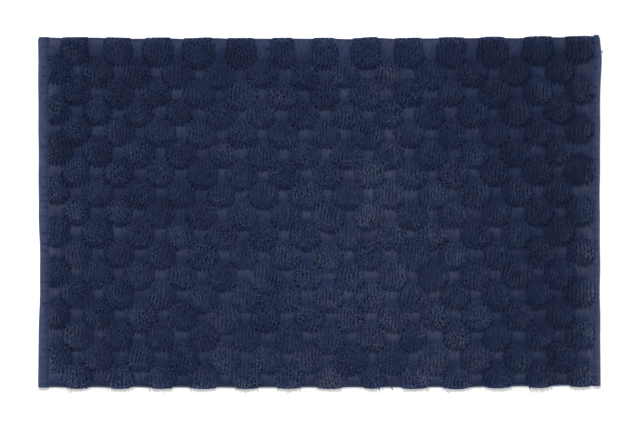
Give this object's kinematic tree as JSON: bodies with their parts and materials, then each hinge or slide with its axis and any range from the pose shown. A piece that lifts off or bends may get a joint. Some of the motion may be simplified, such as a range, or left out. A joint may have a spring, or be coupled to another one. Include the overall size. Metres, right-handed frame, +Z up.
{
  "type": "bath mat",
  "caption": "Rectangular terry bath mat lying flat: woven ground cloth, sewn hems and a chequer of raised round pile dots between flat woven squares.",
  "frame": {"origin": "on the floor under the centre of the mat", "axes": "+X along the mat's length to its right end, +Y across its width to the back edge, +Z up out of the pile"},
  "size_m": [0.8, 0.5, 0.009],
  "materials": {
    "ground_cloth": "flat woven cotton with a fine rib along the width",
    "hem_cloth": "plain woven cotton, paler where it is folded, puckered at the seam",
    "sewing_thread": "twisted cotton thread",
    "terry_pile": "uncut terry loops of twisted cotton yarn"
  },
  "bodies": {
    "root": {"ground_cloth": "ground_cloth", "hem_left": "hem_cloth", "hem_right": "hem_cloth", "hem_front": "hem_cloth", "hem_back": "hem_cloth", "stitches_left": "sewing_thread", "stitches_right": "sewing_thread", "stitches_front": "sewing_thread", "stitches_back": "sewing_thread", "pile_row_01": "terry_pile", "pile_row_02": "terry_pile", "pile_row_03": "terry_pile", "pile_row_04": "terry_pile", "pile_row_05": "terry_pile", "pile_row_06": "terry_pile", "pile_row_07": "terry_pile", "pile_row_08": "terry_pile", "pile_row_09": "terry_pile", "pile_row_10": "terry_pile", "pile_row_11": "terry_pile", "pile_row_12": "terry_pile", "pile_row_13": "terry_pile", "pile_row_14": "terry_pile", "pile_row_15": "terry_pile", "pile_row_16": "terry_pile", "pile_row_17": "terry_pile"}
  },
  "joints": []
}
